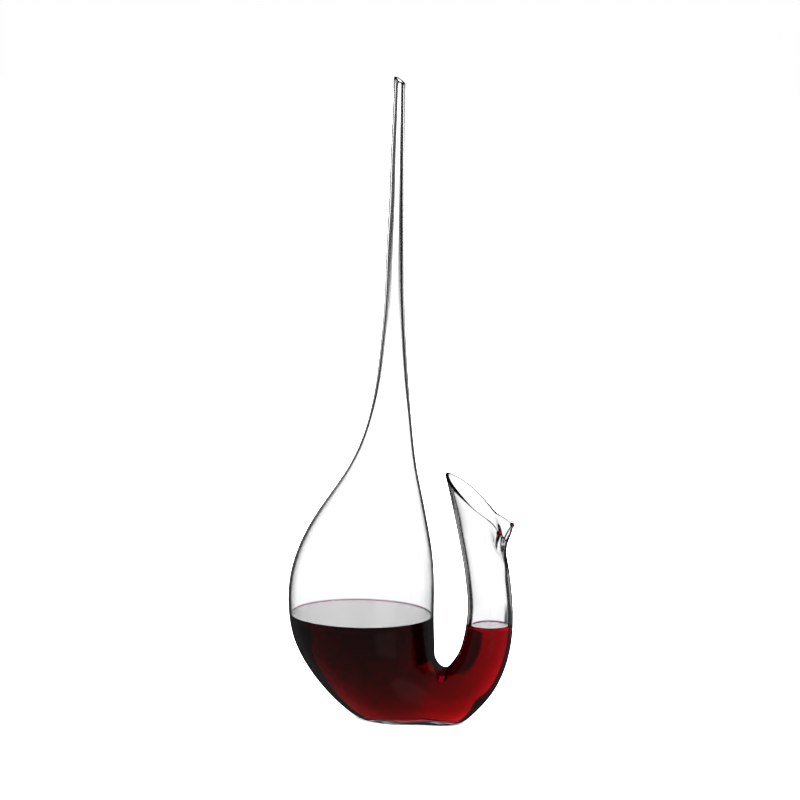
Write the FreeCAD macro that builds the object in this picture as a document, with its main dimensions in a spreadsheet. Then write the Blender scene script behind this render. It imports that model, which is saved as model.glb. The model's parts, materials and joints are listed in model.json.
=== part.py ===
import FreeCAD, Part
import math
import os

# Wine decanter, two openings: a slightly flattened tear-drop bowl drawn up into
# a long leaning filling neck, and a U-bent pouring arm rising from the bowl's
# lower right to an oblique mouth with a two-cornered pouring lip.
# Frame: +Z up, origin at the centre of the flat base contact, +X from the bowl
# towards the pouring arm, symmetric about the XZ plane.  Millimetres.

doc = FreeCAD.newDocument("wine_decanter")
sheet = doc.addObject("Spreadsheet::Sheet", "sizes")
sheet_row = [0]


def cell(alias, value):
    """One driving dimension: its name in column A, its number in column B."""
    sheet_row[0] += 1
    r = sheet_row[0]
    sheet.set("A%d" % r, alias)
    sheet.set("B%d" % r, "%g" % value)
    sheet.setAlias("B%d" % r, alias)


# ---------------------------------------------------------------- dimensions
GLOBALS = [
    ("room", 800),
    ("base_thickness", 4.576),
    ("wine_level", 88.987),
    ("neck_seam_z", 262.325),
    ("web_x", 30.917),
    ("web_z", 42.714),
    ("web_half_length", 9.153),
    ("web_half_width", 12.204),
    ("web_half_height", 11.187),
    ("arm_seam_foot_x", 44.138),
    ("gap_middle_x", 27.357),
    ("tip_x", -8.95),
    ("tip_z", 550.4),
    ("tip_slope", 35.5),
    ("lip_corner_angle", 26),
    ("lip_root_angle", 62),
    ("lip_corner_x", 87.767),
    ("lip_corner_y", 18.916),
    ("lip_front_x", 89.089),
    ("notch_start_x", 83.292),
    ("notch_bottom_z", 162.923),
    ("bead_radius", 2.034),
    ("bead_x", 86.547),
    ("bead_y", 17.696),
    ("bead_z", 173.805),
]
for alias, value in GLOBALS:
    cell(alias, value)

# Section stations of the blown form, from the neck tip down through the bowl,
# round the bend and up the arm: centre x, centre z, direction of the in-plane
# half axis (degrees, from the inside of the bend to its outside), half length
# in the symmetry plane, half width across it, and the glass thickness at the
# inside of the bend, at its outside and at the two sides.
STATIONS = [
    (-9.05, 569.52, 180, 4.4, 4.39, 2.19, 2.19, 2.19),
    (-9.75, 534.86, 180, 5.12, 5.11, 2.54, 2.54, 2.55),
    (-11.15, 484.41, 180, 6.19, 6.18, 2.70, 2.70, 2.70),
    (-11.81, 450.61, 180, 6.78, 6.77, 2.95, 2.95, 2.95),
    (-13.08, 408.18, 180, 7.96, 7.95, 3.05, 3.05, 3.06),
    (-13.97, 365.53, 180, 8.78, 8.77, 3.05, 3.05, 3.06),
    (-15.03, 326.97, 180, 11.02, 11.01, 2.95, 2.95, 2.95),
    (-16.16, 292.55, 180, 14.17, 13.89, 2.80, 2.85, 2.95),
    (-18.29, 262.33, 180, 18.47, 17.78, 2.54, 2.70, 2.80),
    (-21.73, 236.33, 180, 24.24, 22.97, 2.34, 2.54, 2.65),
    (-26.21, 214.61, 180, 31.52, 29.45, 2.14, 2.44, 2.45),
    (-31.71, 192.84, 180, 41.09, 37.85, 1.93, 2.34, 2.34),
    (-37.12, 171.01, 180, 50.39, 45.74, 1.78, 2.29, 2.24),
    (-41.02, 149.13, 180, 57.88, 51.75, 1.68, 2.24, 2.14),
    (-43.69, 127.19, 180, 62.49, 55.34, 1.63, 2.24, 2.14),
    (-44.99, 105.20, 180, 64.14, 56.38, 1.63, 2.24, 2.14),
    (-44.61, 85.81, 180, 63.63, 55.67, 1.73, 2.24, 2.19),
    (-42.42, 68.14, 180, 61.98, 54.23, 1.93, 2.29, 2.24),
    (-21.83, 32.94, 205, 47.45, 43.50, 3.25, 2.54, 2.85),
    (-3.93, 21.60, 225, 39.62, 37.64, 4.47, 2.85, 3.46),
    (10.32, 19.27, 240, 33.49, 32.31, 5.08, 3.05, 4.07),
    (22.83, 20.72, 255, 28.26, 27.70, 5.49, 3.36, 4.58),
    (32.95, 21.96, 270, 26.71, 26.58, 5.70, 3.66, 4.89),
    (41.79, 25.49, 285, 25.33, 25.20, 5.39, 3.97, 4.99),
    (49.38, 32.19, 302, 23.03, 22.92, 4.88, 4.17, 4.78),
    (55.58, 39.49, 320, 22.01, 21.84, 4.47, 4.27, 4.48),
    (60.99, 48.27, 340, 21.90, 21.49, 4.27, 4.27, 4.28),
    (69.34, 69.90, 360, 21.26, 20.62, 4.27, 4.27, 4.28),
    (72.32, 87.57, 360, 20.28, 19.67, 4.27, 4.27, 4.28),
    (73.07, 105.20, 360, 19.46, 18.88, 4.27, 4.27, 4.28),
    (71.67, 122.80, 360, 19.31, 18.73, 4.27, 4.27, 4.28),
    (69.26, 140.36, 360, 19.27, 18.69, 4.27, 4.27, 4.28),
    (67.16, 152.55, 360, 19.43, 18.85, 4.27, 4.27, 4.28),
]
FIELDS = ("cen_x", "cen_z", "turn", "half_len", "half_wid", "wall_in", "wall_out", "wall_side")
for k, station in enumerate(STATIONS):
    for field, value in zip(FIELDS, station):
        cell("%s_%02d" % (field, k), value)

# Stations of the flared mouth above the arm seam: height, centre x, half length,
# half width, back wall, front wall, side wall, share of the flare at the front.
LIP_STATIONS = [
    (152.55, 67.16, 19.42, 18.85, 4.27, 4.27, 4.27, 0.00),
    (158.65, 66.10, 19.51, 18.93, 4.27, 3.97, 4.17, 0.10),
    (163.74, 65.19, 19.57, 18.99, 4.17, 3.36, 3.97, 0.62),
    (169.84, 63.92, 19.63, 19.05, 4.07, 2.75, 3.66, 0.92),
    (176.96, 62.49, 19.71, 19.12, 4.07, 2.44, 3.46, 1.00),
    (186.11, 60.61, 19.83, 19.27, 3.97, 2.44, 3.46, 1.00),
    (198.31, 58.07, 20.09, 19.48, 3.86, 2.44, 3.46, 1.00),
    (213.57, 54.82, 20.44, 19.73, 3.66, 2.44, 3.46, 1.00),
    (229.84, 51.16, 20.95, 20.14, 3.46, 2.44, 3.46, 1.00),
]
LIP_FIELDS = ("lip_z", "lip_x", "lip_len", "lip_wid", "lip_wall_back", "lip_wall_front", "lip_wall_side", "lip_flare")
for k, station in enumerate(LIP_STATIONS):
    for field, value in zip(LIP_FIELDS, station):
        cell("%s_%02d" % (field, k), value)

# Mouth rim seen from the side, from the arch at the back to the beaded corners.
RIM = [
    (32.44, 218.55),
    (37.83, 214.79),
    (41.49, 211.64),
    (47.49, 206.65),
    (52.58, 202.38),
    (57.36, 198.31),
    (65.09, 191.09),
    (69.56, 187.13),
    (74.14, 183.67),
    (78.92, 180.92),
    (82.58, 178.18),
    (86.55, 173.81),
]
for k, (x, z) in enumerate(RIM):
    cell("rim_x_%02d" % k, x)
    cell("rim_z_%02d" % k, z)
doc.recompute()


def size(alias):
    return float(sheet.get(alias))


def bind(obj, prop, expression):
    obj.setExpression(prop, expression)


# ------------------------------------------------------- blown outer and inner
def station_points(k, inner, count):
    """Points round the ellipse at station k; the inner one is drawn in by the glass."""
    n = "_%02d" % k
    turn = math.radians(size("turn" + n))
    x, z, a, b = size("cen_x" + n), size("cen_z" + n), size("half_len" + n), size("half_wid" + n)
    if inner:
        w_in, w_out, w_side = size("wall_in" + n), size("wall_out" + n), size("wall_side" + n)
        x += (w_in - w_out) / 2 * math.cos(turn)
        z += (w_in - w_out) / 2 * math.sin(turn)
        a -= (w_in + w_out) / 2
        b -= w_side
    pts = []
    for j in range(count):
        t = 2 * math.pi * j / count
        r = a * math.cos(t)
        pts.append(FreeCAD.Vector(x + r * math.cos(turn), b * math.sin(t), z + r * math.sin(turn)))
    return pts


def skin_solid(rows, along, count):
    """Closed solid skinned through rings of points: a surface periodic round the
    tube and interpolated along it, with a flat cap at each end."""
    around = [2 * math.pi * j / count for j in range(count + 1)]
    ring_poles, knots_v, mults_v = [], None, None
    for pts in rows:
        c = Part.BSplineCurve()
        c.interpolate(pts, PeriodicFlag=True, Parameters=around)
        ring_poles.append(c.getPoles())
        knots_v, mults_v = c.getKnots(), c.getMultiplicities()
    columns, knots_u, mults_u = [], None, None
    for j in range(len(ring_poles[0])):
        c = Part.BSplineCurve()
        c.interpolate([r[j] for r in ring_poles], Parameters=along)
        columns.append(c.getPoles())
        knots_u, mults_u = c.getKnots(), c.getMultiplicities()
    poles = [[columns[j][i] for j in range(len(columns))] for i in range(len(columns[0]))]
    surface = Part.BSplineSurface()
    surface.buildFromPolesMultsKnots(poles, mults_u, mults_v, knots_u, knots_v, False, True, 3, 3)
    side = surface.toShape()
    caps = []
    for u in (knots_u[0], knots_u[-1]):
        caps.append(Part.Face(Part.Wire(surface.uIso(u).toShape())))
    shell = Part.makeShell([side] + caps)
    shell.sewShape()
    solid = Part.makeSolid(shell)
    if solid.Volume < 0:
        solid.reverse()
    return solid


def blown_form(name, inner):
    count = 24
    rows = [station_points(k, inner, count) for k in range(len(STATIONS))]
    outer = [station_points(k, False, 4) for k in range(len(STATIONS))]
    along = [0.0]
    for p, q in zip(outer, outer[1:]):
        along.append(along[-1] + (q[0] - p[0]).Length + ((q[0] + q[2]) / 2 - (p[0] + p[2]) / 2).Length)
    f = doc.addObject("Part::Feature", name)
    f.Shape = skin_solid(rows, along, count)
    f.Placement = FreeCAD.Placement()
    return f


outer_form = blown_form("outer_form", False)
inner_form = blown_form("inner_form", True)


def box(name, x, y, z, px, py, pz):
    b = doc.addObject("Part::Box", name)
    for prop, e in (("Length", x), ("Width", y), ("Height", z),
                    (".Placement.Base.x", px), (".Placement.Base.y", py), (".Placement.Base.z", pz)):
        bind(b, prop, e)
    return b


def cut(name, base, tool):
    c = doc.addObject("Part::Cut", name)
    c.Base = base
    c.Tool = tool
    return c


def common(name, *shapes):
    c = doc.addObject("Part::MultiCommon", name)
    c.Shapes = list(shapes)
    return c


# Flat ground contact under the blown form, and the flat floor inside it.
ground = box("ground", "sizes.room", "sizes.room", "sizes.room", "-sizes.room / 2", "-sizes.room / 2", "-sizes.room")
pool = box("pool", "sizes.room", "sizes.room", "sizes.room", "-sizes.room / 2", "-sizes.room / 2", "-sizes.room + sizes.base_thickness")
outer_body = cut("outer_body", outer_form, ground)
inner_body = cut("inner_body", inner_form, pool)
glass = cut("glass", outer_body, inner_body)

# ------------------------------------------------------------- crotch gather
# A gather of glass fused into the crotch between bowl and arm; it hangs into
# the wine as a blunt drop.
drop_core = doc.addObject("Part::Ellipsoid", "drop_core")
for prop, e in (("Radius1", "sizes.web_half_height"), ("Radius2", "sizes.web_half_length"), ("Radius3", "sizes.web_half_width"),
                (".Placement.Base.x", "sizes.web_x"), (".Placement.Base.z", "sizes.web_z")):
    bind(drop_core, prop, e)
crotch_web = common("crotch_web_form", outer_body, drop_core)


def region(name, points):
    """Prism across the symmetry plane over a polygon in it."""
    w = doc.addObject("Part::Feature", name)
    half = size("room") / 2
    pts = [FreeCAD.Vector(x, -half, z) for x, z in points]
    w.Shape = Part.Face(Part.makePolygon(pts + [pts[0]])).extrude(FreeCAD.Vector(0, 2 * half, 0))
    w.Placement = FreeCAD.Placement()
    return w


# ------------------------------------------------------------- bowl and neck
seam_x, seam_z = size("web_x"), size("web_z")
foot_x = size("arm_seam_foot_x")
gap_x = size("gap_middle_x")
far = size("room") / 2
arm_side = [(seam_x, seam_z), (gap_x, seam_z + 25), (gap_x, 400), (far, 400), (far, -20), (foot_x, -20)]
arm_zone = region("arm_zone", arm_side)
arm_zone_two = region("arm_zone_two", arm_side)

neck_zone = box("neck_zone", "sizes.room", "sizes.room", "sizes.room", "-sizes.room / 2", "-sizes.room / 2", "sizes.neck_seam_z")
base_zone = box("base_zone", "sizes.room", "sizes.room", "sizes.base_thickness", "-sizes.room / 2", "-sizes.room / 2", "0")

# The neck tip is cut obliquely, high on the side away from the arm.
tip_plane = box("tip_cut", "sizes.room", "sizes.room", "sizes.room", "sizes.tip_x - sizes.room / 2 * cos(sizes.tip_slope * 1 deg)", "-sizes.room / 2",
                "sizes.tip_z + sizes.room / 2 * sin(sizes.tip_slope * 1 deg)")
tip_plane.Placement = FreeCAD.Placement(tip_plane.Placement.Base, FreeCAD.Rotation(FreeCAD.Vector(0, 1, 0), 30))
bind(tip_plane, ".Placement.Rotation.Angle", "sizes.tip_slope")

filling_neck = cut("filling_neck", common("neck_tube", glass, neck_zone), tip_plane)

bowl_glass = cut("bowl_glass", cut("bowl_lower", cut("bowl_all", glass, neck_zone), arm_zone), drop_core)
bowl = cut("bowl", bowl_glass, base_zone)

# --------------------------------------------------------------- pouring arm
pouring_arm = cut("pouring_arm", cut("arm_glass", common("arm_all", glass, arm_zone_two), drop_core), base_zone)

# ------------------------------------------------------------------ base pad
# The thick foot of the form, solid glass below the inside floor.
base_pad = cut("base_pad", common("base_all", outer_body, base_zone), drop_core)

# ------------------------------------------------------- flared mouth and lip
def ring(k, inner):
    """Closed section of the mouth: an ellipse whose front is drawn out into two corners."""
    n = "_%02d" % k
    z, cx = size("lip_z" + n), size("lip_x" + n)
    a, b, f = size("lip_len" + n), size("lip_wid" + n), size("lip_flare" + n)
    back, front, side = size("lip_wall_back" + n), size("lip_wall_front" + n), size("lip_wall_side" + n)
    corner = math.radians(size("lip_corner_angle"))
    root = math.radians(size("lip_root_angle"))
    corner_x, corner_y, front_x = size("lip_corner_x"), size("lip_corner_y"), size("lip_front_x")
    ia, ib, icx = a - (back + front) / 2, b - side, cx + (back - front) / 2
    count = 40
    pts = []
    for j in range(count):
        t = 2 * math.pi * j / count
        ox, oy = cx + a * math.cos(t), b * math.sin(t)
        x, y = (icx + ia * math.cos(t), ib * math.sin(t)) if inner else (ox, oy)
        s = t if t <= math.pi else 2 * math.pi - t
        sign = 1 if t <= math.pi else -1
        if s < root:
            if s < corner:
                q = s / corner
                tx, ty = front_x + (corner_x - front_x) * q ** 2, corner_y * math.sin(q * math.pi / 2)
            else:
                q = (s - corner) / (root - corner)
                rx, ry = cx + a * math.cos(root), b * math.sin(root)
                w = q * q * (3 - 2 * q)
                tx, ty = corner_x + (rx - corner_x) * q, corner_y + (ry - corner_y) * w
            x += f * (tx - ox)
            y += f * (sign * ty - oy)
        pts.append(FreeCAD.Vector(x, y, z))
    c = Part.BSplineCurve()
    c.interpolate(pts, PeriodicFlag=True)
    return Part.Wire(c.toShape())


count_lip = len(LIP_STATIONS)
mouth_outer = Part.makeLoft([ring(k, False) for k in range(count_lip)], True, False)
mouth_inner = Part.makeLoft([ring(k, True) for k in range(count_lip)], True, False)
mouth = mouth_outer.cut(mouth_inner)

# Side cut: everything above the rim line goes.
count_rim = len(RIM)
line = [FreeCAD.Vector(size("rim_x_%02d" % k), -60, size("rim_z_%02d" % k)) for k in range(count_rim)]
back_end = FreeCAD.Vector(line[0].x - 20, -60, line[0].z + 20 * (line[0].z - line[1].z) / (line[1].x - line[0].x))
last = line[-1]
side_face = Part.Face(Part.makePolygon([back_end] + line + [FreeCAD.Vector(last.x + 30, -60, last.z), FreeCAD.Vector(last.x + 30, -60, 320), FreeCAD.Vector(back_end.x, -60, 320), back_end]))
mouth = mouth.cut(side_face.extrude(FreeCAD.Vector(0, 120, 0)))

# Pouring notch: a shallow V between the two front corners.
nx = size("notch_start_x")
nz, ny = size("notch_bottom_z"), size("lip_corner_y") + 1.5
rise = ny * (last.z - nz) / size("bead_y")
notch = Part.Face(Part.makePolygon([FreeCAD.Vector(nx, 0, nz), FreeCAD.Vector(nx, ny, nz + rise), FreeCAD.Vector(nx, ny, 320),
                                    FreeCAD.Vector(nx, -ny, 320), FreeCAD.Vector(nx, -ny, nz + rise), FreeCAD.Vector(nx, 0, nz)])).extrude(FreeCAD.Vector(40, 0, 0))
mouth = mouth.cut(notch)

# -------------------------------------------------------------------- beads
def bead(label, sign):
    b = doc.addObject("Part::Sphere", label)
    bind(b, "Radius", "sizes.bead_radius")
    bind(b, ".Placement.Base.x", "sizes.bead_x")
    bind(b, ".Placement.Base.y", "%d * sizes.bead_y" % sign)
    bind(b, ".Placement.Base.z", "sizes.bead_z")
    return b


lip_bead_left = bead("lip_bead_left", 1)
lip_bead_right = bead("lip_bead_right", -1)
doc.recompute()
for b in (lip_bead_left, lip_bead_right):
    mouth = mouth.cut(b.Shape)
pouring_lip = doc.addObject("Part::Feature", "pouring_lip")
pouring_lip.Shape = mouth.Solids[0] if len(mouth.Solids) == 1 else mouth
pouring_lip.Placement = FreeCAD.Placement()

# --------------------------------------------------------------------- wine
wine_zone = box("wine_zone", "sizes.room", "sizes.room", "sizes.wine_level", "-sizes.room / 2", "-sizes.room / 2", "0")
wine_fill = cut("wine_fill", common("wine_all", inner_body, wine_zone), drop_core)
crotch = common("crotch_web", crotch_web)
crotch.Shapes = [outer_body, drop_core]
doc.removeObject(crotch_web.Name)

NODES = {
    "bowl": bowl,
    "filling_neck": filling_neck,
    "pouring_arm": pouring_arm,
    "pouring_lip": pouring_lip,
    "crotch_web": crotch,
    "base_pad": base_pad,
    "lip_bead_left": lip_bead_left,
    "lip_bead_right": lip_bead_right,
    "wine_fill": wine_fill,
}
for label, obj in NODES.items():
    obj.Label = label
doc.recompute()

# ------------------------------------------------------------------- checks
problems = []
for obj in doc.Objects:
    if "Invalid" in obj.State or "Error" in obj.State:
        problems.append("%s: %s" % (obj.Name, obj.State))
for label, obj in NODES.items():
    shape = obj.Shape
    if shape.isNull() or not shape.isValid() or shape.Volume <= 0:
        problems.append("%s: bad shape" % label)
    elif len(shape.Solids) != 1:
        problems.append("%s: %d solids" % (label, len(shape.Solids)))
    else:
        bb = shape.BoundBox
        print("%-15s %9.1f mm3  x %.2f..%.2f  y %.2f..%.2f  z %.2f..%.2f" % (label, shape.Volume, bb.XMin, bb.XMax, bb.YMin, bb.YMax, bb.ZMin, bb.ZMax))
if problems:
    raise RuntimeError("; ".join(problems))

os.makedirs("parts", exist_ok=True)
for label, obj in NODES.items():
    obj.Shape.exportStep("parts/%s.step" % label)
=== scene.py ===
import bpy
import json
import math
import numpy as np
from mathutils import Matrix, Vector

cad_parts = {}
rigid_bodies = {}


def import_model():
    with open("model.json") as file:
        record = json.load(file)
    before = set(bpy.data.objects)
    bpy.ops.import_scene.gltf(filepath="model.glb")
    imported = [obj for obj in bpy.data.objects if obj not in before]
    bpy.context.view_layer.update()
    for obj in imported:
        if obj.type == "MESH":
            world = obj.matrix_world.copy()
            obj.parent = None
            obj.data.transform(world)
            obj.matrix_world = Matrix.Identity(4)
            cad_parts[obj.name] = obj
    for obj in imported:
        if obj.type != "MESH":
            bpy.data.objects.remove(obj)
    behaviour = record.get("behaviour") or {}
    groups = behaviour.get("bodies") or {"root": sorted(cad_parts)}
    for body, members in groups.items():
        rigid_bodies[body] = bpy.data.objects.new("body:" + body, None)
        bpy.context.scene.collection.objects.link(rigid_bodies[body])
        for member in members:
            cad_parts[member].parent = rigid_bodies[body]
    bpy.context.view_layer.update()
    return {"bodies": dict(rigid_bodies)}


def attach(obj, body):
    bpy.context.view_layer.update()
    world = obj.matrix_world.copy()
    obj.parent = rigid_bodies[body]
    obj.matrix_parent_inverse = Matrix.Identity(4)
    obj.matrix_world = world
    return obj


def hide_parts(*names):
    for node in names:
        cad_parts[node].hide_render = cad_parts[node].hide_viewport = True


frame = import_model()
MM = 0.001

# ----------------------------------------------------------------- the form
# Stations of the blown form, as in the CAD, in millimetres: centre x, centre z,
# direction from the inside of the bend to its outside, half length, half width,
# and the glass at the inside of the bend, at its outside and at the sides.
STATIONS = [
    (-9.05, 569.52, 180, 4.4, 4.39, 2.19, 2.19, 2.19),
    (-9.75, 534.86, 180, 5.12, 5.11, 2.54, 2.54, 2.55),
    (-11.15, 484.41, 180, 6.19, 6.18, 2.70, 2.70, 2.70),
    (-11.81, 450.61, 180, 6.78, 6.77, 2.95, 2.95, 2.95),
    (-13.08, 408.18, 180, 7.96, 7.95, 3.05, 3.05, 3.06),
    (-13.97, 365.53, 180, 8.78, 8.77, 3.05, 3.05, 3.06),
    (-15.03, 326.97, 180, 11.02, 11.01, 2.95, 2.95, 2.95),
    (-16.16, 292.55, 180, 14.17, 13.89, 2.80, 2.85, 2.95),
    (-18.29, 262.33, 180, 18.47, 17.78, 2.54, 2.70, 2.80),
    (-21.73, 236.33, 180, 24.24, 22.97, 2.34, 2.54, 2.65),
    (-26.21, 214.61, 180, 31.52, 29.45, 2.14, 2.44, 2.45),
    (-31.71, 192.84, 180, 41.09, 37.85, 1.93, 2.34, 2.34),
    (-37.12, 171.01, 180, 50.39, 45.74, 1.78, 2.29, 2.24),
    (-41.02, 149.13, 180, 57.88, 51.75, 1.68, 2.24, 2.14),
    (-43.69, 127.19, 180, 62.49, 55.34, 1.63, 2.24, 2.14),
    (-44.99, 105.20, 180, 64.14, 56.38, 1.63, 2.24, 2.14),
    (-44.61, 85.81, 180, 63.63, 55.67, 1.73, 2.24, 2.19),
    (-42.42, 68.14, 180, 61.98, 54.23, 1.93, 2.29, 2.24),
    (-21.83, 32.94, 205, 47.45, 43.50, 3.25, 2.54, 2.85),
    (-3.93, 21.60, 225, 39.62, 37.64, 4.47, 2.85, 3.46),
    (10.32, 19.27, 240, 33.49, 32.31, 5.08, 3.05, 4.07),
    (22.83, 20.72, 255, 28.26, 27.70, 5.49, 3.36, 4.58),
    (32.95, 21.96, 270, 26.71, 26.58, 5.70, 3.66, 4.89),
    (41.79, 25.49, 285, 25.33, 25.20, 5.39, 3.97, 4.99),
    (49.38, 32.19, 302, 23.03, 22.92, 4.88, 4.17, 4.78),
    (55.58, 39.49, 320, 22.01, 21.84, 4.47, 4.27, 4.48),
    (60.99, 48.27, 340, 21.90, 21.49, 4.27, 4.27, 4.28),
    (69.34, 69.90, 360, 21.26, 20.62, 4.27, 4.27, 4.28),
    (72.32, 87.57, 360, 20.28, 19.67, 4.27, 4.27, 4.28),
    (73.07, 105.20, 360, 19.46, 18.88, 4.27, 4.27, 4.28),
    (71.67, 122.80, 360, 19.31, 18.73, 4.27, 4.27, 4.28),
    (69.26, 140.36, 360, 19.27, 18.69, 4.27, 4.27, 4.28),
    (67.16, 152.55, 360, 19.43, 18.85, 4.27, 4.27, 4.28),
    (63.74, 171.00, 360, 19.64, 19.06, 4.15, 3.60, 4.00),
    (60.61, 186.11, 360, 19.83, 19.27, 4.00, 3.30, 3.80),
    (58.07, 198.31, 360, 20.09, 19.48, 3.90, 3.20, 3.60),
    (54.82, 213.57, 360, 20.44, 19.73, 3.70, 3.20, 3.50),
    (51.16, 229.84, 360, 20.95, 20.14, 3.50, 3.20, 3.50),
    (47.80, 245.00, 360, 21.40, 20.50, 3.50, 3.20, 3.50),
]
LEVEL = 88.99            # wine level
FLOOR_IN = 4.576         # inside floor over the thick base
TIP = (-8.95, 550.40, 35.5)   # neck tip plane: a point in it, its slope
BEAD = (86.55, 17.70, 173.81)
# Mouth rim, the middle of the glass edge: angle round the arm (0 at the front),
# x, half width y, z.
RIM = [
    (0.0, 87.36, 0.00, 162.92),
    (10.0, 87.60, 4.07, 164.80),
    (20.5, 87.75, 10.10, 168.60),
    (28.0, 87.35, 15.10, 171.95),
    (32.5, 86.55, 17.60, 173.70),
    (36.0, 84.35, 16.75, 176.30),
    (40.0, 80.50, 14.55, 179.60),
    (46.0, 75.50, 13.00, 182.85),
    (56.0, 70.60, 14.00, 186.30),
    (70.0, 65.09, 16.25, 191.00),
    (95.0, 57.36, 17.40, 198.20),
    (111.0, 52.58, 16.95, 202.40),
    (127.0, 47.49, 15.35, 206.70),
    (145.0, 41.49, 11.85, 211.60),
    (158.0, 37.83, 8.10, 214.70),
    (170.0, 35.00, 3.80, 217.00),
    (180.0, 34.20, 0.00, 217.70),
]


def spline_matrix(x):
    """Natural cubic spline: the matrix giving second derivatives from values."""
    n = len(x)
    a, r = np.zeros((n, n)), np.zeros((n, n))
    a[0, 0] = a[-1, -1] = 1
    for i in range(1, n - 1):
        p, q = x[i] - x[i - 1], x[i + 1] - x[i]
        a[i, i - 1], a[i, i], a[i, i + 1] = p, 2 * (p + q), q
        r[i, i - 1], r[i, i], r[i, i + 1] = 6 / p, -6 / p - 6 / q, 6 / q
    return np.linalg.solve(a, r)


class Spline:
    def __init__(self, x, y):
        self.x, self.y = np.asarray(x, float), np.asarray(y, float)
        self.m = spline_matrix(self.x) @ self.y

    def __call__(self, t):
        t = np.asarray(t, float)
        i = np.clip(np.searchsorted(self.x, t) - 1, 0, len(self.x) - 2)
        w = self.x[i + 1] - self.x[i]
        a, b = (self.x[i + 1] - t) / w, (t - self.x[i]) / w
        c = tuple([...] + [None] * (self.y.ndim - 1))
        return (a[c] * self.y[i] + b[c] * self.y[i + 1]
                + ((a ** 3 - a)[c] * self.m[i] + (b ** 3 - b)[c] * self.m[i + 1]) * (w ** 2 / 6)[c])


S = np.array(STATIONS, float)
S[8:18, 5:8] *= 0.82          # the bowl's glass thinner than the CAD's, so its edge lines match the photo
turn = np.radians(S[:, 2])
D = np.stack([np.cos(turn), np.sin(turn)], 1)
out_end = S[:, 0:2] + D * S[:, 3:4]
along = np.concatenate([[0], np.cumsum(np.linalg.norm(np.diff(out_end, axis=0), axis=1)
                                       + np.linalg.norm(np.diff(S[:, 0:2], axis=0), axis=1))])
outer_sp = Spline(along, np.column_stack([S[:, 0:2], D * S[:, 3:4], S[:, 4]]))
ai = S[:, 3] - (S[:, 5] + S[:, 6]) / 2
ci = S[:, 0:2] + D * ((S[:, 5] - S[:, 6]) / 2)[:, None]
inner_sp = Spline(along, np.column_stack([ci, D * ai[:, None], S[:, 4] - S[:, 7]]))
END = along[-1]


def settle(z, at, k):
    """z, never below at: flat under it, with a rounding of half height k."""
    d = z - at
    return at + np.where(d > k, d, np.where(d < -k, 0.0, (d + k) ** 2 / (4 * k)))


DROP = np.array([31.6, 0.0, 49.2])
DROP_R = np.array([8.2, 9.5, 16.8])


def raw(t, v, inner):
    q = (inner_sp if inner else outer_sp)(t)
    c, s = np.cos(v), np.sin(v)
    return np.stack([q[..., 0] + q[..., 2] * c, q[..., 4] * s, q[..., 1] + q[..., 3] * c], -1)


def form(t, v, inner):
    """Point of the blown form: t along it, v round it (0 at the outside of the bend)."""
    p = raw(t, v, inner)
    if inner:
        p[..., 2] = settle(p[..., 2], FLOOR_IN, 5.0)
        # slow unevenness of the thick floor, as it was left by the block
        x, y = p[..., 0], p[..., 1]
        low = np.clip((26 - p[..., 2]) / 20, 0, 1) ** 2
        p[..., 2] += low * (0.55 * np.sin(x / 13.0 + 0.6) * np.cos(y / 11.0) + 1.9 * np.exp(-((x - 22) / 12) ** 2 - (y / 12) ** 2))
        # the gather in the crotch hangs into the inside as a blunt drop
        e = (p - DROP) / DROP_R
        r = np.linalg.norm(e, axis=-1)
        k = 0.30
        d = r - 1
        rr = 1 + np.where(d > k, d, np.where(d < -k, 0.0, (d + k) ** 2 / (4 * k)))
        near = (r < 1 + k)
        rs = np.maximum(r, 1e-3)
        p = np.where(near[..., None], DROP + (p - DROP) * (rr / rs)[..., None], p)
    else:
        p[..., 2] = settle(p[..., 2], 0.0, 2.6)
    return p


def smooth(x):
    x = np.clip(x, 0, 1)
    return x * x * (3 - 2 * x)


# Angles round the tube, closer together at the front, where the lip is.
NV = 176
g = np.linspace(0, 2 * math.pi, 4001)
dens = 1.0 + 1.35 * (np.exp(-(g / 0.75) ** 4) + np.exp(-((g - 2 * math.pi) / 0.75) ** 4))
cum = np.concatenate([[0], np.cumsum((dens[1:] + dens[:-1]) / 2)])
V = np.interp(np.arange(NV) / NV * cum[-1], cum, g)

# rim targets at those angles
ra = np.radians([r[0] for r in RIM])
full_a = np.concatenate([-ra[::-1][:-1], ra])
full = np.array([(r[1], -r[2], r[3]) for r in RIM][::-1][:-1] + [(r[1], r[2], r[3]) for r in RIM])


def periodic(a, vals, at):
    aa = np.concatenate([a[:-1] - 2 * math.pi, a[:-1], a[:-1] + 2 * math.pi])
    vv = np.concatenate([vals[:-1]] * 3)
    return Spline(aa, vv)(at)


Vs = np.where(V > math.pi, V - 2 * math.pi, V)
rim_mid = periodic(full_a, full, Vs)


def solve_t(f, lo, hi):
    """The t where f(t) falls to zero, for each angle at once: f > 0 at lo."""
    lo, hi = np.full(NV, lo, float), np.full(NV, hi, float)
    for _ in range(46):
        mid = (lo + hi) / 2
        pos = f(mid) > 0
        lo, hi = np.where(pos, mid, lo), np.where(pos, hi, mid)
    return (lo + hi) / 2


def t_where(k):
    return along[k]


tip_n = np.array([math.sin(math.radians(TIP[2])), 0, math.cos(math.radians(TIP[2]))])
tip_p = np.array([TIP[0], 0, TIP[1]])


def ends(inner):
    """t at the neck tip, for each angle."""
    t0 = solve_t(lambda t: (form(t, V, inner) - tip_p) @ tip_n, along[0], along[2])
    return t0


def ramp(n, a=1.0, b=1.0):
    """0..1 in n steps, closer at the start for a > 1 and at the end for b > 1."""
    x = np.linspace(0, 1, n)
    if a > 1:
        x = x ** a
    if b > 1:
        x = 1 - (1 - x) ** b
    return x


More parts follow.
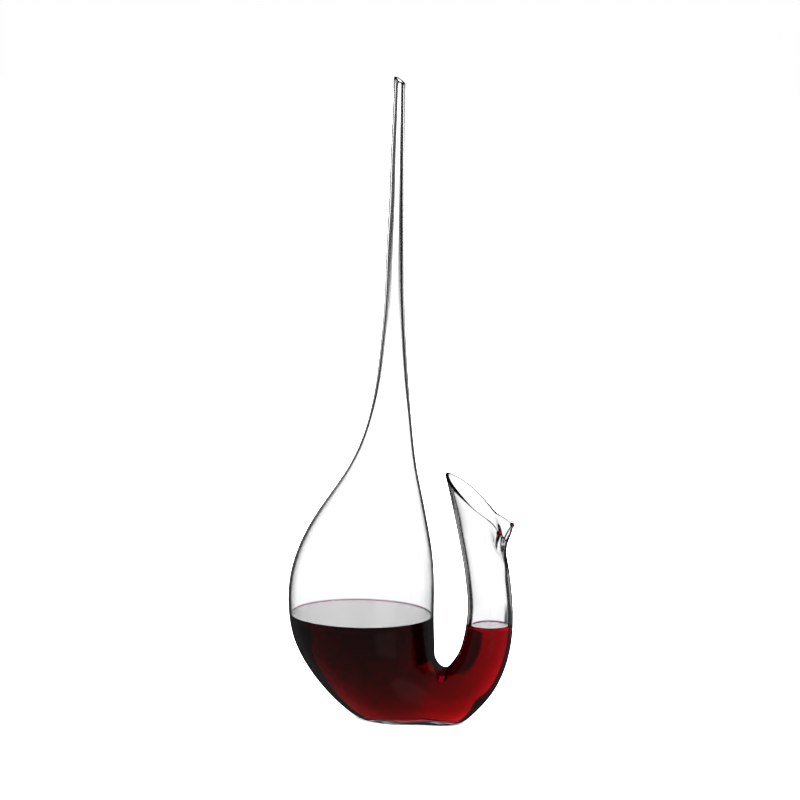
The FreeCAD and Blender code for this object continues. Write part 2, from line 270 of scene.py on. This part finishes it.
def spread(marks, counts):
    """Values of t between the marks (each an array over the angles)."""
    rows = []
    for m0, m1, n in zip(marks, marks[1:], counts):
        for i in range(n):
            rows.append(m0 + (m1 - m0) * (i / n))
    rows.append(marks[-1])
    return rows


full_v = np.ones(NV)
EDGE_T = 1.9 + 1.2 * smooth((np.abs(Vs) - 0.9) / 1.4)   # thickness of the rim's glass
t1 = solve_t(lambda t: rim_mid[:, 2] - (form(t, V, False) + form(t, V, True))[:, 2] / 2, along[30], END)


def lipped(t, inner):
    """The form with its mouth drawn out to the rim."""
    o, i = form(t, V, False), form(t, V, True)
    near = t > along[28]
    eo, ei = form(t1, V, False), form(t1, V, True)
    front = 1 - smooth((np.abs(Vs) - 0.75) / 0.45)
    fall = 19.0 * front + 60.0 * (1 - front)      # how far below the rim the flare begins
    up = np.clip(1 - (rim_mid[:, 2] - (o + i)[:, 2] / 2) / fall, 0, 1)
    w = np.where(near, up ** (2.0 - 0.15 * front), 0.0)
    shift = (rim_mid - (eo + ei) / 2) * w[:, None]
    # the wall thins towards the rim
    thin = np.clip(1 - (rim_mid[:, 2] - (o + i)[:, 2] / 2) / 34.0, 0, 1)
    thin = np.where(near, smooth(thin), 0.0)
    full = np.linalg.norm(eo - ei, axis=1)
    k = 1 + (EDGE_T / full - 1) * thin
    mid, half = (o + i) / 2, (o - i) / 2
    return mid + half * (np.where(near, k, 1.0)[:, None] * (-1 if inner else 1)) + shift


def rim_cap(a, b, outward, n=5, height=0.42):
    """Rings that round the edge from ring a over to ring b."""
    rows = []
    mid, half = (a + b) / 2, (a - b) / 2
    size = np.linalg.norm(half, axis=1)[:, None]
    for i in range(1, n + 1):
        f = math.pi * i / (n + 1)
        rows.append(mid + half * math.cos(f) + outward * size * math.sin(f) * height * 2)
    return rows


# ---------------------------------------------------------------- the vessel
RISE, REACH = 1.05, 1.4   # the wine climbs the glass: height and length of the curve
bulb_mid, bend_a, bend_b = t_where(17), t_where(20), t_where(27)


def wet_marks():
    """t where the wine's edge meets the inside, in the bowl and in the arm."""
    lim = LEVEL + RISE
    ta = solve_t(lambda t: form(t, V, True)[:, 2] - lim, along[12], along[18])
    tb = solve_t(lambda t: lim - form(t, V, True)[:, 2], along[26], along[31])
    return ta, tb


t0o, t0i = ends(False), ends(True)
wa, wb = wet_marks()
lean_o = [t0o, along[3] * full_v, along[9] * full_v, along[17] * full_v, along[22] * full_v, along[27] * full_v, along[31] * full_v, t1]
rows_outer_t = spread(lean_o, [26, 34, 44, 40, 30, 20, 46])
outer_rows = [lipped(t, False) for t in rows_outer_t]
inner_marks = [t0i, along[3] * full_v, along[9] * full_v, wa, along[18] * full_v, along[22] * full_v, along[26] * full_v, wb, along[31] * full_v, t1]
inner_counts = [22, 28, 34, 14, 34, 30, 12, 12, 40]
rows_inner_t = spread(inner_marks, inner_counts)
inner_rows = [lipped(t, True) for t in rows_inner_t]

mouth_up = outer_rows[-1] - outer_rows[-3] + inner_rows[-1] - inner_rows[-3]
mouth_up /= np.linalg.norm(mouth_up, axis=1)[:, None]
mouth_cap = rim_cap(outer_rows[-1], inner_rows[-1], mouth_up)
tip_up = np.tile(tip_n, (NV, 1))
tip_cap = rim_cap(inner_rows[0], outer_rows[0], tip_up, n=4, height=0.35)

ring_rows = outer_rows + mouth_cap + inner_rows[::-1] + tip_cap
n_out, n_cap, n_in = len(outer_rows), len(mouth_cap), len(inner_rows)


def grid_faces(n_rows, wrap_rows, nv=None):
    nv = nv or NV
    faces = []
    for i in range(n_rows if wrap_rows else n_rows - 1):
        a, b = i * nv, ((i + 1) % n_rows) * nv
        for j in range(nv):
            k = (j + 1) % nv
            faces.append((a + j, a + k, b + k, b + j))
    return faces


def make_mesh(name, verts, faces):
    me = bpy.data.meshes.new(name)
    me.from_pydata([tuple(p) for p in np.asarray(verts) * MM], [], faces)
    me.validate()
    me.update()
    # outward normals
    co = np.empty(len(me.vertices) * 3)
    me.vertices.foreach_get("co", co)
    co = co.reshape(-1, 3)
    vol = 0.0
    me.calc_loop_triangles()
    tri = np.empty(len(me.loop_triangles) * 3, int)
    me.loop_triangles.foreach_get("vertices", tri)
    tri = tri.reshape(-1, 3)
    vol = np.einsum("ij,ij->i", co[tri[:, 0]], np.cross(co[tri[:, 1]], co[tri[:, 2]])).sum()
    if vol < 0:
        me.flip_normals()
    me.polygons.foreach_set("use_smooth", [True] * len(me.polygons))
    ob = bpy.data.objects.new(name, me)
    bpy.context.scene.collection.objects.link(ob)
    return ob


vessel = make_mesh("glass_vessel", np.concatenate(ring_rows), grid_faces(len(ring_rows), True))
# faces of the inside that the wine wets, between its edge in the bowl and in the arm
wet_first = sum(inner_counts[:3])
wet_last = sum(inner_counts[:7])
start = n_out + n_cap
lo_row, hi_row = start + (n_in - 1 - wet_last), start + (n_in - 1 - wet_first)
wet_index = []
for row in range(len(ring_rows)):
    if row < n_out - 1:
        slot = 0
    elif row < n_out + n_cap or row >= start + n_in - 1:
        slot = 3
    elif lo_row <= row < hi_row:
        slot = 1
    else:
        slot = 2
    wet_index += [slot] * NV

# ------------------------------------------------------------------ the wine
GAP = 0.012
wine_t = spread([wa, along[18] * full_v, along[22] * full_v, along[26] * full_v, wb], inner_counts[3:7])
wine_side = [lipped(t, True) for t in wine_t]


def shrink(rows):
    """Draws the rings in by the hair's breadth that parts the wine from the glass."""
    arr = np.stack(rows)
    du = np.gradient(arr, axis=0)
    dv = np.roll(arr, -1, 1) - np.roll(arr, 1, 1)
    n = np.cross(du, dv)
    n /= np.maximum(np.linalg.norm(n, axis=2), 1e-9)[..., None]
    centre = arr.mean(1, keepdims=True)
    s = np.sign(np.sum(n * (arr - centre), axis=2))
    return list(arr - n * (s * GAP)[..., None])


wine_side = shrink(wine_side)


def surface_rings(edge):
    """Rings of a free surface from its edge on the glass in to its middle."""
    c = np.array([edge[:, 0].mean(), 0.0, 0.0])
    flat = edge.copy()
    rings = []
    rad = np.hypot(edge[:, 0] - c[0], edge[:, 1])
    for d in (0.14, 0.32, 0.55, 0.85, 1.2, 1.65, 2.2, 2.9, 3.8, 5.0, 6.6):
        k = (rad - d) / rad
        p = flat.copy()
        p[:, 0] = c[0] + (edge[:, 0] - c[0]) * k
        p[:, 1] = edge[:, 1] * k
        p[:, 2] = LEVEL + RISE * math.exp(-d / REACH * 1.35)
        rings.append(p)
    last = rings[-1]
    for k in (0.82, 0.62, 0.42, 0.24, 0.1):
        p = last.copy()
        p[:, 0] = c[0] + (last[:, 0] - c[0]) * k
        p[:, 1] = last[:, 1] * k
        p[:, 2] = LEVEL + (last[:, 2] - LEVEL) * k
        rings.append(p)
    return rings, np.array([c[0], 0.0, LEVEL])


top_a, mid_a = surface_rings(wine_side[0])
top_b, mid_b = surface_rings(wine_side[-1])
wine_rows = top_a[::-1] + wine_side + top_b
wine_verts = np.concatenate(wine_rows + [mid_a[None], mid_b[None]])
wine_faces = grid_faces(len(wine_rows), False)
na, nw = len(top_a), len(wine_rows)
ia, ib = nw * NV, nw * NV + 1
for j in range(NV):
    k = (j + 1) % NV
    wine_faces.append((ia, k, j))
    wine_faces.append((ib, (nw - 1) * NV + j, (nw - 1) * NV + k))
wine = make_mesh("red_wine", wine_verts, wine_faces)
wetted = np.zeros(len(wine.data.polygons), np.float32)
for row in range(na, na + len(wine_side) - 1):
    wetted[row * NV:(row + 1) * NV] = 1.0
att = wine.data.attributes.new("on_glass", "FLOAT", "FACE")
att.data.foreach_set("value", wetted)


# ----------------------------------------------------------------- the beads
def bead(name, sign):
    """A drop of red glass melted onto the rim's corner, a little flattened against it."""
    nu, nv2 = 28, 36
    c = np.array([BEAD[0], sign * BEAD[1], BEAD[2]])
    down = np.array([-0.30, -0.42 * sign, -0.86])
    down /= np.linalg.norm(down)
    a1 = np.cross(down, [0, 1, 0]); a1 /= np.linalg.norm(a1)
    a2 = np.cross(down, a1)
    verts, rows = [], []
    for i in range(1, nu):
        th = math.pi * i / nu
        ct, st = math.cos(th), math.sin(th)
        ring = []
        for j in range(nv2):
            ph = 2 * math.pi * j / nv2
            r = 2.12 * (1 + 0.035 * math.cos(2 * ph + 0.7) * st)
            lift = ct * (1.0 if ct < 0 else 0.86)
            ring.append(c + down * (lift * r) + (a1 * math.cos(ph) + a2 * math.sin(ph)) * (st * r * (1 + 0.06 * ct)))
        rows.append(np.array(ring))
    verts = np.concatenate(rows + [np.array([c + down * 2.12 * 0.86]), np.array([c - down * 2.12])])
    faces = grid_faces(len(rows), False, nv2)
    p0, p1 = len(rows) * nv2, len(rows) * nv2 + 1
    for j in range(nv2):
        k = (j + 1) % nv2
        faces.append((p0, k, j))
        faces.append((p1, (len(rows) - 1) * nv2 + j, (len(rows) - 1) * nv2 + k))
    return make_mesh(name, verts, faces)


bead_l, bead_r = bead("red_bead_left", 1), bead("red_bead_right", -1)


# ----------------------------------------------------------------- materials
def new_material(name):
    m = bpy.data.materials.new(name)
    m.use_nodes = True
    nt = m.node_tree
    for n in list(nt.nodes):
        nt.nodes.remove(n)
    out = nt.nodes.new("ShaderNodeOutputMaterial")
    return m, nt, out


def node(nt, kind, **values):
    n = nt.nodes.new(kind)
    for k, v in values.items():
        if k.startswith("p_"):
            setattr(n, k[2:], v)
        else:
            n.inputs[k.replace("_", " ")].default_value = v
    return n


def striae_bump(nt, strength, distance=0.0004):
    """The faint drawn waviness of blown glass: slow swells and long thin cords."""
    tc = node(nt, "ShaderNodeTexCoord")
    mp = node(nt, "ShaderNodeMapping")
    mp.inputs["Scale"].default_value = (1.0, 1.0, 0.22)
    slow = node(nt, "ShaderNodeTexNoise", Scale=14.0, Detail=1.0, Roughness=0.4)
    cords = node(nt, "ShaderNodeTexNoise", Scale=70.0, Detail=1.5, Roughness=0.45)
    nt.links.new(tc.outputs["Object"], mp.inputs["Vector"])
    nt.links.new(tc.outputs["Object"], slow.inputs["Vector"])
    nt.links.new(mp.outputs["Vector"], cords.inputs["Vector"])
    mix = node(nt, "ShaderNodeMath", p_operation="MULTIPLY_ADD")
    mix.inputs[1].default_value = 0.18
    nt.links.new(cords.outputs[0], mix.inputs[0])
    nt.links.new(slow.outputs[0], mix.inputs[2])
    b = node(nt, "ShaderNodeBump", Strength=strength, Distance=distance)
    nt.links.new(mix.outputs[0], b.inputs["Height"])
    return b


def glass_with_painted_edge_shade(name, stops, fresnel=False, bump=0.10, bore=None):
    """Clear glass with painted shade: a ramp on facing, or on Fresnel, greys its colour to paint dark lines where it
    is seen edge-on or reflects inside itself;
    bore gives a second, darker painted shade ramp for the narrow bore, which comes in along the neck."""
    m, nt, out = new_material(name)
    gl = node(nt, "ShaderNodeBsdfGlass", Roughness=0.0, IOR=1.515)
    tc = node(nt, "ShaderNodeTexCoord")

    def shade(pairs, src):
        rp = node(nt, "ShaderNodeValToRGB")
        el = rp.color_ramp.elements
        while len(el) < len(pairs):
            el.new(0.5)
        for e, (p, v) in zip(el, pairs):
            e.position, e.color = p, (v, min(1, v * 1.004), min(1, v * 1.01), 1)
        nt.links.new(src, rp.inputs["Fac"])
        return rp.outputs["Color"]

    # painted shade: the glass colour is greyed by a ramp on facing (or on Fresnel) to paint the dark edge lines
    facing = node(nt, "ShaderNodeLayerWeight", Blend=0.5).outputs["Facing"]
    colour = shade(stops, node(nt, "ShaderNodeFresnel", IOR=1.515).outputs[0] if fresnel else facing)
    # painted shade of the narrow bore: a darker facing ramp, blended in by height along the neck
    if bore:
        sep = node(nt, "ShaderNodeSeparateXYZ")
        hz = node(nt, "ShaderNodeMapRange", p_interpolation_type="SMOOTHSTEP")
        hz.inputs["From Min"].default_value, hz.inputs["From Max"].default_value = 0.29, 0.43
        nt.links.new(tc.outputs["Object"], sep.inputs[0])
        nt.links.new(sep.outputs["Z"], hz.inputs["Value"])
        mix = node(nt, "ShaderNodeMix", p_data_type="RGBA")
        nt.links.new(hz.outputs[0], mix.inputs[0])
        nt.links.new(colour, mix.inputs[6])
        nt.links.new(shade(bore, facing), mix.inputs[7])
        colour = mix.outputs[2]
    nt.links.new(colour, gl.inputs["Color"])
    # breath-fine variation of the fire polish
    ns = node(nt, "ShaderNodeTexNoise", Scale=45.0, Detail=3.0)
    mr = node(nt, "ShaderNodeMapRange")
    mr.inputs["From Min"].default_value, mr.inputs["From Max"].default_value = 0.35, 0.8
    mr.inputs["To Min"].default_value, mr.inputs["To Max"].default_value = 0.0, 0.006
    nt.links.new(tc.outputs["Object"], ns.inputs["Vector"])
    nt.links.new(ns.outputs[0], mr.inputs["Value"])
    nt.links.new(mr.outputs[0], gl.inputs["Roughness"])
    b = striae_bump(nt, bump)
    nt.links.new(b.outputs["Normal"], gl.inputs["Normal"])
    nt.links.new(gl.outputs[0], out.inputs["Surface"])
    return m


def wetted_glass():
    m, nt, out = new_material("clear_glass_wetted")
    t = node(nt, "ShaderNodeBsdfTransparent")
    nt.links.new(t.outputs[0], out.inputs["Surface"])
    return m


def red_wine():
    m, nt, out = new_material("red_wine")
    side = node(nt, "ShaderNodeBsdfGlass", Roughness=0.0, IOR=1.345 / 1.515)
    top = node(nt, "ShaderNodeBsdfGlass", Roughness=0.0, IOR=1.345)
    at = node(nt, "ShaderNodeAttribute", p_attribute_name="on_glass")
    mx = node(nt, "ShaderNodeMixShader")
    nt.links.new(at.outputs["Fac"], mx.inputs[0])
    nt.links.new(top.outputs[0], mx.inputs[1])
    nt.links.new(side.outputs[0], mx.inputs[2])
    nt.links.new(mx.outputs[0], out.inputs["Surface"])
    vol = node(nt, "ShaderNodeVolumeAbsorption", Color=(0.9338, 0.02, 0.715, 1), Density=740.0)
    nt.links.new(vol.outputs[0], out.inputs["Volume"])
    return m


def red_glass():
    m, nt, out = new_material("red_glass")
    gl = node(nt, "ShaderNodeBsdfGlass", Color=(1, 0.35, 0.28, 1), Roughness=0.02, IOR=1.515)
    vol = node(nt, "ShaderNodeVolumeAbsorption", Color=(0.93, 0.12, 0.08, 1), Density=900.0)
    b = striae_bump(nt, 0.08, 0.0002)
    nt.links.new(b.outputs["Normal"], gl.inputs["Normal"])
    nt.links.new(gl.outputs[0], out.inputs["Surface"])
    nt.links.new(vol.outputs[0], out.inputs["Volume"])
    return m


wet_m, wine_m, bead_m = wetted_glass(), red_wine(), red_glass()
# outside and inside glass: colour greyed by facing or Fresnel ramps, painted shade for the dark edge lines; the rim
# glass is painted grey all over
vessel_slots = [
    glass_with_painted_edge_shade("clear_glass_outside_painted_edge_shade", [(0.60, 1.0), (0.74, 0.55), (0.90, 0.30), (1.0, 0.2)]),
    wet_m,
    glass_with_painted_edge_shade("clear_glass_inside_painted_edge_shade", [(0.25, 1.0), (0.60, 0.33), (1.0, 0.30)], fresnel=True, bump=0.07,
                 bore=[(0.08, 1.0), (0.14, 0.14), (0.32, 0.14), (0.48, 0.55), (1.0, 0.5)]),
    glass_with_painted_edge_shade("clear_glass_rim_painted_shade", [(0.0, 0.45), (1.0, 0.34)], bump=0.05),
]
for m in vessel_slots:
    vessel.data.materials.append(m)
vessel.data.polygons.foreach_set("material_index", wet_index)
wine.data.materials.append(wine_m)
for b in (bead_l, bead_r):
    b.data.materials.append(bead_m)

body = list(frame["bodies"])[0]
for ob in (vessel, wine, bead_l, bead_r):
    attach(ob, body)
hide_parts("bowl", "filling_neck", "pouring_arm", "pouring_lip", "crotch_web", "base_pad")
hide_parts("wine_fill")
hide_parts("lip_bead_left")
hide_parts("lip_bead_right")

# --------------------------------------------------------------------- stage
AZ, EL = math.radians(20.5), math.radians(9.9)
TARGET = Vector((-23.22, 39.04, 271.23)) * MM
DIST = 3.051
right = Vector((math.cos(AZ), math.sin(AZ), 0))
away = Vector((-math.sin(AZ), math.cos(AZ), 0))
to_cam = Vector((math.sin(AZ) * math.cos(EL), -math.cos(AZ) * math.cos(EL), math.sin(EL)))

cam_d = bpy.data.cameras.new("camera")
cam = bpy.data.objects.new("camera", cam_d)
bpy.context.scene.collection.objects.link(cam)
cam.location = TARGET + to_cam * DIST
cam.rotation_mode = "QUATERNION"
cam.rotation_quaternion = (-to_cam).to_track_quat("-Z", "Y")
cam_d.sensor_width = 36.0
cam_d.lens = 3529.41 / 800 * 36.0
cam_d.shift_x, cam_d.shift_y = -0.5 / 800, 0.65 / 800
cam_d.clip_start, cam_d.clip_end = 0.1, 60
bpy.context.scene.camera = cam


def emitter(name, strength, low=None, span=None):
    """Plain light source; low gives a second strength below, blended over span (z, metres)."""
    m, nt, out = new_material(name)
    e = node(nt, "ShaderNodeEmission", Strength=strength)
    if low is not None:
        geo = node(nt, "ShaderNodeNewGeometry")
        sep = node(nt, "ShaderNodeSeparateXYZ")
        mr = node(nt, "ShaderNodeMapRange")
        mr.inputs["From Min"].default_value, mr.inputs["From Max"].default_value = span
        mr.inputs["To Min"].default_value, mr.inputs["To Max"].default_value = low, strength
        nt.links.new(geo.outputs["Position"], sep.inputs[0])
        nt.links.new(sep.outputs["Z"], mr.inputs["Value"])
        nt.links.new(mr.outputs[0], e.inputs["Strength"])
    nt.links.new(e.outputs[0], out.inputs["Surface"])
    return m


def card(name, centre, across, up, half_w, half_h, material, glossy=True):
    """A flat light panel, seen only through and in the glass."""
    c, a, u = Vector(centre), Vector(across).normalized(), Vector(up).normalized()
    n = 6
    vs, fs = [], []
    for i in range(n + 1):
        for j in range(n + 1):
            vs.append(c + a * half_w * (2 * i / n - 1) + u * half_h * (2 * j / n - 1))
    for i in range(n):
        for j in range(n):
            q = i * (n + 1) + j
            fs.append((q, q + 1, q + n + 2, q + n + 1))
    me = bpy.data.meshes.new(name)
    me.from_pydata([tuple(v) for v in vs], [], fs)
    ob = bpy.data.objects.new(name, me)
    bpy.context.scene.collection.objects.link(ob)
    me.materials.append(material)
    ob.visible_camera = False
    ob.visible_diffuse = False
    ob.visible_shadow = False
    ob.visible_glossy = glossy
    return ob


Z = Vector((0, 0, 1))
MID = Vector((-0.012, 0.0, 0.0))


def ramp_node(nt, stops):
    """Values between 0 and 1 by stops (position 0..1, value)."""
    rp = node(nt, "ShaderNodeValToRGB")
    el = rp.color_ramp.elements
    while len(el) < len(stops):
        el.new(0.5)
    for e, (p, v) in zip(el, stops):
        e.position, e.color = p, (v, v, v, 1)
    return rp


def glow(name, across, stops, z_span, peak, left, right_, narrow=((0.0, 0.0), (1.0, 0.0))):
    """Soft studio light: strength by height (stops over z_span), fading at its two sides;
    narrow gives how far the right side draws in (negative: reaches out) by height."""
    m, nt, out = new_material(name)
    e = node(nt, "ShaderNodeEmission")
    geo = node(nt, "ShaderNodeNewGeometry")
    sep = node(nt, "ShaderNodeSeparateXYZ")
    nt.links.new(geo.outputs["Position"], sep.inputs[0])

    def by_height(pairs):
        hz = node(nt, "ShaderNodeMapRange")
        hz.inputs["From Min"].default_value, hz.inputs["From Max"].default_value = z_span
        nt.links.new(sep.outputs["Z"], hz.inputs["Value"])
        rp = ramp_node(nt, [((z - z_span[0]) / (z_span[1] - z_span[0]), v) for z, v in pairs])
        nt.links.new(hz.outputs[0], rp.inputs["Fac"])
        return rp.outputs["Color"]

    product = by_height([(z, v / peak) for z, v in stops])
    dot = node(nt, "ShaderNodeVectorMath", p_operation="DOT_PRODUCT")
    dot.inputs[1].default_value = tuple(across)
    nt.links.new(geo.outputs["Position"], dot.inputs[0])
    shift = node(nt, "ShaderNodeMath", p_operation="ADD")
    off = node(nt, "ShaderNodeMath", p_operation="SUBTRACT")
    nt.links.new(by_height([(z, v + 0.5) for z, v in narrow]), off.inputs[0])
    off.inputs[1].default_value = 0.5
    nt.links.new(dot.outputs["Value"], shift.inputs[0])
    nt.links.new(off.outputs[0], shift.inputs[1])
    for src, (lo, hi) in ((dot.outputs["Value"], left), (shift.outputs[0], right_)):
        mr = node(nt, "ShaderNodeMapRange", p_interpolation_type="SMOOTHSTEP")
        mr.inputs["From Min"].default_value, mr.inputs["From Max"].default_value = min(lo, hi), max(lo, hi)
        mr.inputs["To Min"].default_value, mr.inputs["To Max"].default_value = (0, 1) if lo < hi else (1, 0)
        nt.links.new(src, mr.inputs["Value"])
        mul = node(nt, "ShaderNodeMath", p_operation="MULTIPLY")
        nt.links.new(product, mul.inputs[0])
        nt.links.new(mr.outputs[0], mul.inputs[1])
        product = mul.outputs[0]
    k = node(nt, "ShaderNodeMath", p_operation="MULTIPLY")
    k.inputs[1].default_value = peak
    nt.links.new(product, k.inputs[0])
    nt.links.new(k.outputs[0], e.inputs["Strength"])
    # the light hides nothing behind it
    clear, both = node(nt, "ShaderNodeBsdfTransparent"), node(nt, "ShaderNodeAddShader")
    nt.links.new(clear.outputs[0], both.inputs[0])
    nt.links.new(e.outputs[0], both.inputs[1])
    nt.links.new(both.outputs[0], out.inputs["Surface"])
    return m


main_glow = glow("main_glow", right,
                 [(-0.70, 0.36), (-0.60, 0.42), (-0.25, 0.82), (-0.10, 1.34), (0.10, 1.60), (0.37, 2.75), (0.62, 2.8)],
                 (-0.80, 0.80), 3.0, left=(-0.645, -0.56), right_=(0.50, 0.37),
                 narrow=[(-0.80, 0.26), (-0.34, 0.26), (-0.20, 0.0), (0.0, 0.0), (0.12, -0.12), (0.80, -0.12)])
side_glow = glow("side_glow", right, [(-0.205, 0.0), (-0.18, 0.6), (-0.165, 1.1), (-0.085, 1.1), (-0.045, 0.0)],
                 (-0.25, 0.0), 1.1, left=(0.36, 0.50), right_=(0.95, 0.75))
card("side_panel", away * 1.19 + Z * -0.125 + right * 0.65, right, Z, 0.32, 0.12, side_glow, glossy=False)
card("back_panel", away * 1.20 + right * 0.02, right, Z, 0.65, 0.80, main_glow, glossy=False)
# the same soft light for someone walking round the table
low_glow = glow("low_glow", right, [(-0.85, 1.1), (-0.36, 1.2), (-0.26, 0.0)], (-0.90, 0.0), 1.3, left=(-1.2, -1.0), right_=(-0.53, -0.63))
card("low_panel", away * 1.19 + Z * -0.56 + right * -0.86, right, Z, 0.34, 0.30, low_glow, glossy=False)
for nm, az, low_z, high_z, half in (("left_panel", -90, -0.20, 0.75, 0.36), ("front_panel", 135, -0.50, 0.60, 0.42)):
    d = Vector((math.sin(math.radians(az)), math.cos(math.radians(az)), 0))
    acr = Vector((d.y, -d.x, 0))
    mat = glow(nm + "_glow", acr, [(low_z, 1.0), (high_z, 1.25)], (low_z - 0.01, high_z + 0.01), 1.3,
               left=(-half, -half + 0.12), right_=(half, half - 0.12))
    card(nm, d * 1.2 + Z * ((low_z + high_z) / 2), acr, Z, half, (high_z - low_z) / 2, mat, glossy=False)

# floor
floor_me = bpy.data.meshes.new("floor")
R = 6.0
floor_me.from_pydata([(-R, -R, 0), (R, -R, 0), (R, R, 0), (-R, R, 0)], [], [(0, 1, 2, 3)])
floor = bpy.data.objects.new("floor", floor_me)
bpy.context.scene.collection.objects.link(floor)
fm, fnt, fout = new_material("floor")
fd = node(fnt, "ShaderNodeBsdfDiffuse", Color=(0.9, 0.9, 0.9, 1))
fnt.links.new(fd.outputs[0], fout.inputs["Surface"])
floor_me.materials.append(fm)
floor.visible_transmission = False
floor.visible_glossy = False

world = bpy.data.worlds.new("studio")
bpy.context.scene.world = world
world.use_nodes = True
wn = world.node_tree
for n in list(wn.nodes):
    wn.nodes.remove(n)
wout = wn.nodes.new("ShaderNodeOutputWorld")
lp = wn.nodes.new("ShaderNodeLightPath")


def background(strength, colour=(1, 1, 1)):
    n = node(wn, "ShaderNodeBackground", Strength=strength)
    n.inputs["Color"].default_value = (*colour, 1)
    return n.outputs[0]


def choose(flag, no, yes):
    n = wn.nodes.new("ShaderNodeMixShader")
    wn.links.new(lp.outputs[flag], n.inputs[0])
    wn.links.new(no, n.inputs[1])
    wn.links.new(yes, n.inputs[2])
    return n.outputs[0]


sky = background(0.030)
sky = choose("Is Glossy Ray", sky, background(0.10, (0.92, 0.96, 1.0)))
sky = choose("Is Diffuse Ray", sky, background(6.0))
sky = choose("Is Camera Ray", sky, background(1.0))
wn.links.new(sky, wout.inputs["Surface"])

sc = bpy.context.scene
sc.view_settings.view_transform = "Standard"
sc.view_settings.look = "None"
sc.view_settings.exposure = 0
sc.view_settings.gamma = 1
sc.cycles.max_bounces = 24
sc.cycles.transmission_bounces = 24
sc.cycles.glossy_bounces = 12
sc.cycles.transparent_max_bounces = 24
sc.cycles.caustics_reflective = False
sc.cycles.caustics_refractive = False
sc.cycles.use_denoising = True

for ob in (vessel, wine, bead_l, bead_r):
    ob.visible_shadow = True
